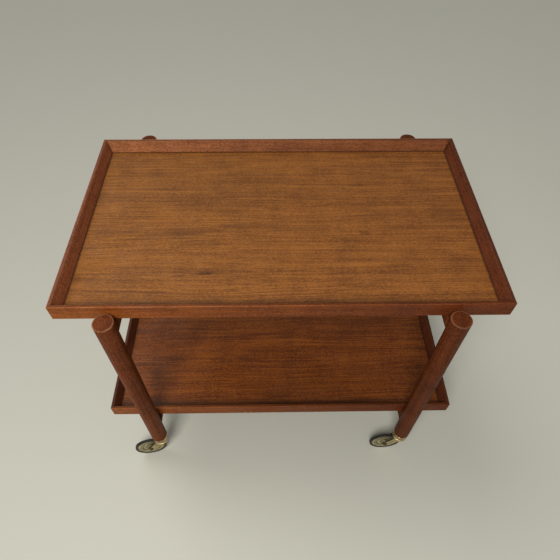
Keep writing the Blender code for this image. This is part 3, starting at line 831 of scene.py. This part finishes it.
def batten(side, material):
    """A strip with eased edges: a rounded rectangle carried along it, pulled in at its ends.

    The rectangle is pulled in by e (1 - sin a) while it comes e (1 - cos a) in from each end.
    """
    node = f"tray_batten_{side}"
    low, high = box_of(node)
    turn = np.linspace(0, math.pi / 2, 5)
    way = BATTEN_EASING * (1 - np.cos(turn))
    rings = []
    for pulled in BATTEN_EASING * (1 - np.sin(turn)):
        left, right = low[0] + pulled, high[0] - pulled
        bottom, top = low[2] + pulled, high[2] - pulled
        corners = [(left, bottom), (right, bottom), (right, top), (left, top)]
        rings.append(rounded(corners, [max(BATTEN_EASING - pulled, 0.00005)] * 4))
    middle = np.linspace(low[1] + BATTEN_END, high[1] - BATTEN_END, 40)
    y = np.concatenate([low[1] + way, middle, high[1] - way[::-1]])[:, None]
    flat = np.array(rings + rings[-1:] * len(middle) + rings[::-1])
    rows = np.stack([flat[..., 0], y + 0 * flat[..., 0], flat[..., 1]], axis=-1)
    strip = swept(rows, np.zeros(rows.shape[:2]))
    grain = (ALONG_Y, np.array((0.7, low[0] * 9, 3.0)))
    new_piece(f"eased_{node}", [strip], "upper_tray", node, material, grain)


# --------------------
# End frames


def leg(corner, material, offset):
    """A round leg: eased top, straight side, a spigot for the foot cup and a hole up it for the pin."""
    node = f"leg_{corner}"
    bottom, top, radius = round_box(node)
    foot = round_box(f"foot_cup_{corner}")[1] + TOUCH_GAP
    hole = PIN_RADIUS + TOUCH_GAP
    pin_top = round_box(f"swivel_pin_{corner}")[1] + TOUCH_GAP
    corners = [(0, top), (radius, top), (radius, foot), (radius - SPIGOT_PLAY, foot)]
    corners += [(radius - SPIGOT_PLAY, bottom), (hole, bottom), (hole, pin_top), (0, pin_top)]
    outline = divided(rounded(corners, [0, LEG_EASING, 0.0005, 0, 0, 0, 0, 0]), 0.004, closed=False)
    wood = turned(outline, 96, through(node), reach=LEG_WEAR)
    wood["dirt_and_shade"] = np.where(wood["points"][:, 2] > top - 0.0002, LEG_TOP_GRIME, 0.0)
    new_piece(f"turned_{node}", [wood], "frame", node, material, (ALONG_Z, offset))


def rail(level, side, material, offset):
    """A round rail along Y whose ends are hollowed to fit the legs.

    Point a, t of its side is at x = r cos a, z = r sin a, and y runs between the two hollows, each
    of which is a leg's circle: y = leg's y - sqrt(R * R - x * x). The hollow itself is the same
    formula on circles that shrink to the middle.
    """
    node = f"{level}_rail_{side}"
    low, high = box_of(node)
    leg_low, leg_high = box_of(f"leg_front_{side}")
    leg_radius = (leg_high[0] - leg_low[0]) / 2 + TOUCH_GAP
    leg_y = abs(leg_low[1] + leg_high[1]) / 2
    radius = (high[2] - low[2]) / 2
    centre = (low + high) / 2
    angle = np.arange(96) * (2 * math.pi / 96)
    hollow, side_rows = 12, 59
    growing = np.linspace(0.04, 1, hollow)
    shrink = np.concatenate([growing, np.ones(side_rows), growing[::-1]])
    straight = np.linspace(-1, 1, side_rows + 2)[1:-1]
    share = np.concatenate([-np.ones(hollow), straight, np.ones(hollow)])
    x = radius * shrink[:, None] * np.cos(angle)
    z = radius * shrink[:, None] * np.sin(angle)
    y = share[:, None] * (leg_y - np.sqrt(leg_radius**2 - x**2))
    rows = np.stack([x, y, z], axis=-1) + np.array((centre[0], 0, centre[2]))
    wood = swept(rows, np.zeros(x.shape))
    return new_piece(f"round_{node}", [wood], "frame", node, material, (ALONG_Y, offset))


def recess(thing, side):
    """Cuts the two holes for screw heads up into a lower rail from below."""
    for end in ("front", "rear"):
        screw = f"tray_screw_{end}_{side}"
        top = round_box(screw)[0] + RECESS_ROOM
        outline = [(0, top), (RECESS_RADIUS, top), (RECESS_RADIUS, DRILL_BOTTOM), (0, DRILL_BOTTOM)]
        drill = turned(np.array(outline), 48, through(screw))
        mesh = bpy.data.meshes.new("drill")
        mesh.from_pydata(drill["points"].tolist(), [], drill["faces"])
        cutter = placed("drill", mesh)
        cut = thing.modifiers.new("recess", "BOOLEAN")
        cut.operation = "DIFFERENCE"
        cut.object = cutter
        bpy.context.view_layer.update()
        graph = bpy.context.evaluated_depsgraph_get()
        thing.data = bpy.data.meshes.new_from_object(thing.evaluated_get(graph))
        thing.modifiers.clear()
        bpy.data.objects.remove(cutter)


def tray_screw(corner, material):
    """A countersunk screw, turned, with its head down."""
    node = f"tray_screw_{corner}"
    bottom, top, head = round_box(node)
    corners = [(0, top), (SCREW_RADIUS, top - SCREW_RADIUS), (SCREW_RADIUS, bottom + 0.0025)]
    corners += [(head, bottom + 0.0012), (head, bottom), (0, bottom)]
    radii = [0, 0, 0, 0.0003, 0.0008, 0]
    rides = ("frame", "steel", material)
    turned_piece("turned", node, rides, through(node), corners, radii, 0.0012, 40, closed=False)


# --------------------
# Casters


def mirrored(half):
    """An outline's corners from those on one side of the wheel's middle plane."""
    return half + [(radius, -height) for radius, height in reversed(half)]


def cup(corner, material):
    """A spun brass cup with a rolled lip, an eased foot and a hole for the pin."""
    node = f"foot_cup_{corner}"
    bottom, top, radius = round_box(node)
    hole = PIN_RADIUS + TOUCH_GAP
    side = radius - 0.0004
    corners = [(radius - CUP_WALL, top), (radius, top), (radius, top - 0.0022), (side, top - 0.0026)]
    corners += [(side, bottom + 0.0015), (radius - 0.0015, bottom)]
    corners += [(hole, bottom), (hole, bottom + CUP_BASE), (radius - CUP_WALL, bottom + CUP_BASE)]
    radii = [0.0005, 0.0007, 0.0004, 0, 0.0008, 0.0008, 0.0003, 0.0003, 0]
    turned_piece("spun", node, ("frame", "brass", material), on_pivot(corner), corners, radii, 0.0015, 96)


def swivel_pin(corner, material):
    """The pin up the leg, its domed head under the fork's crown."""
    node = f"swivel_pin_{corner}"
    bottom, top, head = round_box(node)
    corners = [(0, top), (PIN_RADIUS, top), (PIN_RADIUS, bottom + 0.0025)]
    corners += [(head, bottom + 0.0025), (head * 0.55, bottom), (0, bottom)]
    radii = [0, 0.0012, 0, 0.0004, 0.0012, 0]
    rides = ("frame", "steel", material)
    turned_piece("turned", node, rides, on_pivot(corner), corners, radii, 0.002, 48, closed=False)


def washer(corner, material):
    """A thin ring between the cup and the fork."""
    node = f"thrust_washer_{corner}"
    bottom, top, outside = round_box(node)
    inside = PIN_RADIUS + TOUCH_GAP
    corners = [(inside, top), (outside, top), (outside, bottom), (inside, bottom)]
    outline = rounded(corners, [0.0002, 0.0003, 0.0003, 0.0002])
    ring = turned(outline, 64, on_pivot(corner), closed=True)
    new_piece(f"pressed_{node}", [ring], f"caster_{corner}", node, material)


def bezier(knots, befores, afters, steps):
    """Points of a closed curve through the knots, by the cubic of each knot and its next one."""
    knot = np.array(knots, float)
    first = knot + np.array(afters, float)
    end = np.roll(knot, -1, axis=0)
    second = end + np.roll(np.array(befores, float), -1, axis=0)
    t = np.linspace(0, 1, steps, endpoint=False)[None, :, None]
    terms = (1 - t) ** 3 * knot[:, None] + 3 * (1 - t) ** 2 * t * first[:, None]
    terms = terms + 3 * (1 - t) * t**2 * second[:, None] + t**3 * end[:, None]
    return terms.reshape(-1, 2)


def inset(outline, distance):
    """A counterclockwise outline moved in by a distance along its normals."""
    tangent = np.roll(outline, -1, axis=0) - np.roll(outline, 1, axis=0)
    tangent /= np.linalg.norm(tangent, axis=1, keepdims=True)
    return outline + distance * np.stack([-tangent[:, 1], tangent[:, 0]], axis=1)


def fork(corner, material):
    """A brass fork: a round crown and two cheeks that narrow to a boss at the axle.

    A cheek is its outline carried through its thickness, pulled in by e (1 - sin a) while it comes
    e (1 - cos a) in from each face, which eases its edges all round by e. Along the edges that face
    upwards lies a dark painted shade, for the shadowed gap between cheek and disc, with some grease.
    """
    node = f"fork_{corner}"
    swivel = np.array(JOINTS[f"caster_turn_{corner}"]["pos_m"], float)
    wheel = wheel_frame(corner)[0]
    ahead = wheel - swivel
    ahead[2] = 0
    trail = np.linalg.norm(ahead)
    ahead /= trail
    side_way = np.cross(UP, ahead)
    pivot = on_pivot(corner)
    crown_radius = round_box(f"foot_cup_{corner}")[2] - RUNNING_GAP
    hole = PIN_RADIUS + RUNNING_GAP
    crown_top = box_of(node)[1][2]
    crown_bottom = crown_top - CROWN_THICKNESS
    corners = [(hole, crown_top), (crown_radius, crown_top)]
    corners += [(crown_radius, crown_bottom), (hole, crown_bottom)]
    outline = divided(rounded(corners, [0.0003, 0.0012, 0.0008, 0.0003]), 0.0015)
    shells = [turned(outline, 96, pivot, closed=True)]
    outside = CHEEK_INSIDE + CHEEK_THICKNESS
    top_half = math.sqrt(crown_radius**2 - outside**2) - TOUCH_GAP
    top = crown_bottom + CROWN_THICKNESS / 2
    drop = top - wheel[2]
    boss = CHEEK_BOSS_RADIUS
    knots = [(-top_half, top), (trail, wheel[2] - boss), (trail + boss, wheel[2]), (top_half, top)]
    befores = [(0, 0), (-boss * 1.2, 0), (0, -boss * 0.55), (0, -drop * 0.5)]
    afters = [(0, -drop * 0.55), (boss * 0.55, 0), (0, boss * 0.55), (0, 0)]
    shape = bezier(knots, befores, afters, 24)
    turn = np.linspace(0, math.pi / 2, 5)
    pulled = CHEEK_EASING * (1 - np.sin(turn))
    way = CHEEK_EASING * (1 - np.cos(turn))
    flat_part = [CHEEK_MARGIN, CHEEK_MARGIN / 2]
    pulled = np.concatenate([flat_part, pulled, pulled[::-1], flat_part[::-1]])
    way = np.concatenate([[0, 0], way, CHEEK_THICKNESS - way[::-1], [CHEEK_THICKNESS] * 2])
    worn = np.where(pulled > CHEEK_EASING, 0.0, CHEEK_WEAR * pulled / CHEEK_EASING)
    tangent = np.roll(shape, -1, axis=0) - np.roll(shape, 1, axis=0)
    upward = np.clip(-3 * tangent[:, 0] / np.linalg.norm(tangent, axis=1), 0, 1)
    # The cut edges that face upwards get a dark painted shade for the shadowed gap between cheek and disc
    cut = np.where(pulled < CHEEK_MARGIN * 0.6, 1.0, 0.0)
    flat = np.array([inset(shape, distance) for distance in pulled])
    edge = worn[:, None] * np.ones(len(shape))
    for side in (-1, 1):
        across = side * (CHEEK_INSIDE + way)
        rows = pivot[0] + flat[..., :1] * ahead + flat[..., 1:] * UP + across[:, None, None] * side_way
        shells.append(swept(rows, edge, cut[:, None] * upward))
    new_piece(f"pressed_{node}", shells, f"caster_{corner}", node, material)


def axle_rivet(corner, material):
    """The axle, a rod with a domed head outside each cheek."""
    node = f"axle_{corner}"
    inner = CHEEK_INSIDE + CHEEK_THICKNESS + TOUCH_GAP
    outer = inner + AXLE_HEAD_HEIGHT
    half = [(0, outer), (AXLE_HEAD_RADIUS * 0.72, outer - 0.0002), (AXLE_HEAD_RADIUS, inner + 0.0006)]
    half += [(AXLE_HEAD_RADIUS, inner), (AXLE_RADIUS, inner)]
    radii = [0, 0.0012, 0.0006, 0.0002, 0]
    radii += radii[::-1]
    rides = (f"caster_{corner}", "steel", material)
    turned_piece("turned", node, rides, wheel_frame(corner), mirrored(half), radii, 0.0015, 48, closed=False)


def wheel_bush(corner, material):
    """The bush that the wheel runs on."""
    node = f"wheel_bush_{corner}"
    inside = AXLE_RADIUS + RUNNING_GAP
    half = CHEEK_INSIDE - TOUCH_GAP
    corners = mirrored([(inside, half), (inside + BUSH_WALL, half)])
    rides = (f"wheel_{corner}", "steel", material)
    turned_piece("turned", node, rides, wheel_frame(corner), corners, [0.0003] * 4, 0.002, 48)


def wheel_disc(corner, material):
    """A spun brass disc: a hub, a dished web with a raised ring on it and a turned-up seat."""
    node = f"wheel_disc_{corner}"
    bore = AXLE_RADIUS + RUNNING_GAP + BUSH_WALL + TOUCH_GAP
    outside = wheel_frame(corner)[0][2] - TYRE_THICKNESS - TOUCH_GAP
    web = WEB_WIDTH / 2
    half = [
        (bore, HUB_WIDTH / 2),
        (HUB_RADIUS - 0.0008, HUB_WIDTH / 2),
        (HUB_RADIUS, HUB_WIDTH / 2 - 0.0008),
        (HUB_RADIUS + 0.0012, web),
        (RING_RADIUS - 0.0026, web - 0.0002),
        (RING_RADIUS - 0.0010, RING_WIDTH / 2),
        (RING_RADIUS + 0.0002, RING_WIDTH / 2 - 0.0001),
        (RING_RADIUS + 0.0012, web - 0.0004),
        (RING_RADIUS + 0.0030, web - 0.0003),
        (outside - TYRE_THICKNESS, web),
        (outside - 0.0008, SEAT_WIDTH / 2 - 0.0001),
        (outside, SEAT_WIDTH / 2 - 0.0001),
    ]
    radii = [0.0002, 0.0005, 0.0005, 0.0008, 0.001, 0.0006, 0.0006, 0.0006, 0.001, 0.001, 0.0005, 0.0002]
    outline = divided(rounded(mirrored(half), radii + radii[::-1], 4), 0.0015)
    metal = turned(outline, 120, wheel_frame(corner), closed=True, reach=DISC_WEAR)
    new_piece(f"spun_{node}", [metal], f"wheel_{corner}", node, material)


def tyre(corner, material):
    """A thin rubber tyre: a crowned tread, rounded shoulders and a moulded line on each side."""
    node = f"tyre_{corner}"
    outside = wheel_frame(corner)[0][2]
    inside = outside - TYRE_THICKNESS
    half = TREAD_WIDTH / 2
    upper = [
        (inside, SEAT_WIDTH / 2),
        (inside + 0.0006, half - 0.0002),
        (inside + 0.0012, half - 0.0002),
        (inside + 0.0014, half),
        (outside - 0.0006, half),
        (outside, half - 0.0016),
    ]
    radii = [0.0002, 0.0003, 0.0001, 0.0002, 0.0011, 0.0014]
    radii += radii[::-1]
    rides = (f"wheel_{corner}", "tyre", material)
    turned_piece("moulded", node, rides, wheel_frame(corner), mirrored(upper), radii, 0.0012, 144)


# --------------------
# The cart

# How strong each figure of the floors' wood is, and the finishes
UPPER_LOOK = {"Swirl": 0.026, "Band": 0.40, "Streak": 0.74, "Fleck": 0.76, "Mottle": 0.26, "Pore": 0.45}
LOWER_LOOK = {"Swirl": 0.030, "Band": 0.46, "Streak": 0.80, "Fleck": 0.90, "Mottle": 0.26, "Pore": 0.45}
# The third colour of each floor is painted shade towards its right end, greyer where blue is raised: a
# painted sheen
UPPER_COLOURS = ((0.262, 0.096, 0.0148, 1), (0.108, 0.036, 0.0060, 1), (0.88, 0.86, 1.10))
LOWER_COLOURS = ((0.204, 0.056, 0.0054, 1), (0.071, 0.016, 0.0024, 1), (0.90, 0.90, 1.25))
UPPER_VENEER = veneer("upper", UPPER_COLOURS, UPPER_LOOK, UPPER_MARKS, rim_shadow=0.45, shift=(0.3, 0.1, 0))
LOWER_VENEER = veneer("lower", LOWER_COLOURS, LOWER_LOOK, LOWER_MARKS, rim_shadow=0.60, shift=(4.2, 2.6, 1))
# Each rim's and leg's wear amount gives pale edges, rubbed wear with a painted highlight on the arris; the
# front and rear rims' far colours are painted shade towards the right end
REAR_RIM = solid_wood("rear_rim_teak", (0.365, 0.136, 0.050), (0.168, 0.054, 0.019), 0.20, (0.60, 0.54, 0.52))
LEFT_RIM = solid_wood("left_rim_teak", (0.350, 0.112, 0.044), (0.165, 0.047, 0.019), 0.14)
RIGHT_RIM = solid_wood("right_rim_teak", (0.126, 0.034, 0.0125), (0.054, 0.0135, 0.0052), 0.20)
FRONT_RIM = solid_wood(
    "front_rim_teak", (0.300, 0.086, 0.0165), (0.128, 0.031, 0.0062), 0.42, (0.48, 0.40, 0.50), gloss=0.10
)
UPPER_RIMS = {"front": FRONT_RIM, "rear": REAR_RIM, "left": LEFT_RIM, "right": RIGHT_RIM}
LOWER_RIMS = {"front": FRONT_RIM, "rear": RIGHT_RIM, "left": RIGHT_RIM, "right": RIGHT_RIM}
LEG_WOOD = solid_wood("leg_teak", (0.190, 0.0480, 0.0125), (0.066, 0.0164, 0.0050), 0.60, gloss=0.05)
RIGHT_LEG_WOOD = solid_wood(
    "right_leg_teak", (0.130, 0.0320, 0.0088), (0.044, 0.0104, 0.0034), 0.80, gloss=0.05
)
# The cup's heavy dark tarnish is real tarnish and also a painted dark reflection of the shaded floor round
# the feet
CUP_BRASS = brass("cup_brass", (0.56, 0.43, 0.20), (0.10, 0.066, 0.028), 0.95, 0.14)
FORK_BRASS = brass("fork_brass", (0.56, 0.45, 0.21), (0.20, 0.15, 0.06), 0.75, 0.26)
DISC_RINGS = ((0.0107, 0.0016), (0.0196, 0.0018), (0.0236, 0.0016), (0.0318, 0.0022))
DISC_BRASS = brass("disc_brass", (0.62, 0.55, 0.34), (0.27, 0.24, 0.12), 0.8, 0.34, DISC_RINGS)
STEEL = steel("dull_steel", (0.42, 0.40, 0.37), (0.13, 0.10, 0.08), 0.34)
BROWNED_STEEL = steel("browned_steel", (0.11, 0.09, 0.07), (0.04, 0.03, 0.02), 0.38)
NYLON = nylon()
RUBBER = rubber()

TRAYS = (("upper", "upper_tray", UPPER_VENEER, UPPER_RIMS), ("lower", "frame", LOWER_VENEER, LOWER_RIMS))
for level, body, floor_wood, rim_woods in TRAYS:
    board = frame["nodes"][f"{level}_tray_floor"]
    board.data.materials.clear()
    board.data.materials.append(floor_wood)
    for number, side in enumerate(SIDES):
        shift = np.array((1.7 * number + 0.4, 0.9 * number + 0.2, 2.3 if level == "upper" else 5.9))
        rim(level, side, body, rim_woods[side], shift)

for number, corner in enumerate(CORNERS):
    wood = LEG_WOOD if corner == "front_left" else RIGHT_LEG_WOOD
    leg(corner, wood, np.array((1.3 * number, 0.7 * number, 0.4 * number)))
    tray_screw(corner, STEEL)
    cup(corner, CUP_BRASS)
    swivel_pin(corner, STEEL)
    washer(corner, NYLON)
    fork(corner, FORK_BRASS)
    axle_rivet(corner, BROWNED_STEEL)
    wheel_bush(corner, STEEL)
    wheel_disc(corner, DISC_BRASS)
    tyre(corner, RUBBER)

for number, side in enumerate(("left", "right")):
    wood = (LEG_WOOD, RIGHT_LEG_WOOD)[number]
    batten(side, REAR_RIM)
    rail("upper", side, wood, np.array((6.0 + number, 0.8, 0.3)))
    recess(rail("lower", side, wood, np.array((8.0 + number, 0.5, 0.9))), side)


# --------------------
# Floor, light and camera


def studio_floor():
    """A plain pale floor, wide enough to fill every view."""
    reach = 30.0
    mesh = bpy.data.meshes.new("studio_floor")
    corners = [(-reach, -reach, 0), (reach, -reach, 0), (reach, reach, 0), (-reach, reach, 0)]
    mesh.from_pydata(corners, [], [(0, 1, 2, 3)])
    material, _, shader = new_material("studio_floor")
    shader["Base Color"].default_value = (0.46, 0.46, 0.40, 1)
    shader["Roughness"].default_value = 0.75
    mesh.materials.append(material)
    placed("studio_floor", mesh)


def lamp(name, kind, place, aim, power, colour):
    """A light of this kind that faces its aim."""
    made = bpy.data.lights.new(name, kind)
    made.energy = power
    made.color = colour
    thing = placed(name, made)
    thing.location = place
    thing.rotation_euler = (Vector(aim) - Vector(place)).to_track_quat("-Z", "Y").to_euler()
    return made


def room_light(colour, strength):
    """Even light from all round."""
    world = bpy.data.worlds.new("room")
    world.use_nodes = True
    background = world.node_tree.nodes["Background"].inputs
    background["Color"].default_value = (*colour, 1)
    background["Strength"].default_value = strength
    bpy.context.scene.world = world


def camera():
    """Eye level above the front, looking steeply down, turned and rolled by about a degree."""
    place = Vector((-0.0164, -0.6726, 1.2258))
    turn, tilt, roll = (math.radians(angle) for angle in (1.382, -51.577, 0.614))
    ahead = Vector((math.sin(turn) * math.cos(tilt), math.cos(turn) * math.cos(tilt), math.sin(tilt)))
    right = Vector((math.cos(turn), -math.sin(turn), 0))
    above = right.cross(ahead)
    rolled_right = right * math.cos(roll) + above * math.sin(roll)
    rolled_up = above * math.cos(roll) - right * math.sin(roll)
    lens = bpy.data.cameras.new("camera")
    lens.lens = 31.034
    lens.sensor_width = 36
    thing = placed("camera", lens)
    axes = Matrix((rolled_right, rolled_up, -ahead)).transposed()
    thing.matrix_world = Matrix.Translation(place) @ axes.to_4x4()
    bpy.context.scene.camera = thing


studio_floor()
lamp("key", "AREA", (-0.40, -1.5, 2.3), (0, 0, 0.4), 55, (1.0, 0.97, 0.92)).size = 0.8
lamp("overhead", "SUN", (-1.2, 1.1, 2.2), (0, 0, 0), 1.2, (1.0, 0.98, 0.95)).angle = math.radians(40)
room_light((1.0, 0.985, 0.95), 0.28)
camera()
bpy.context.scene.view_settings.view_transform = "Standard"
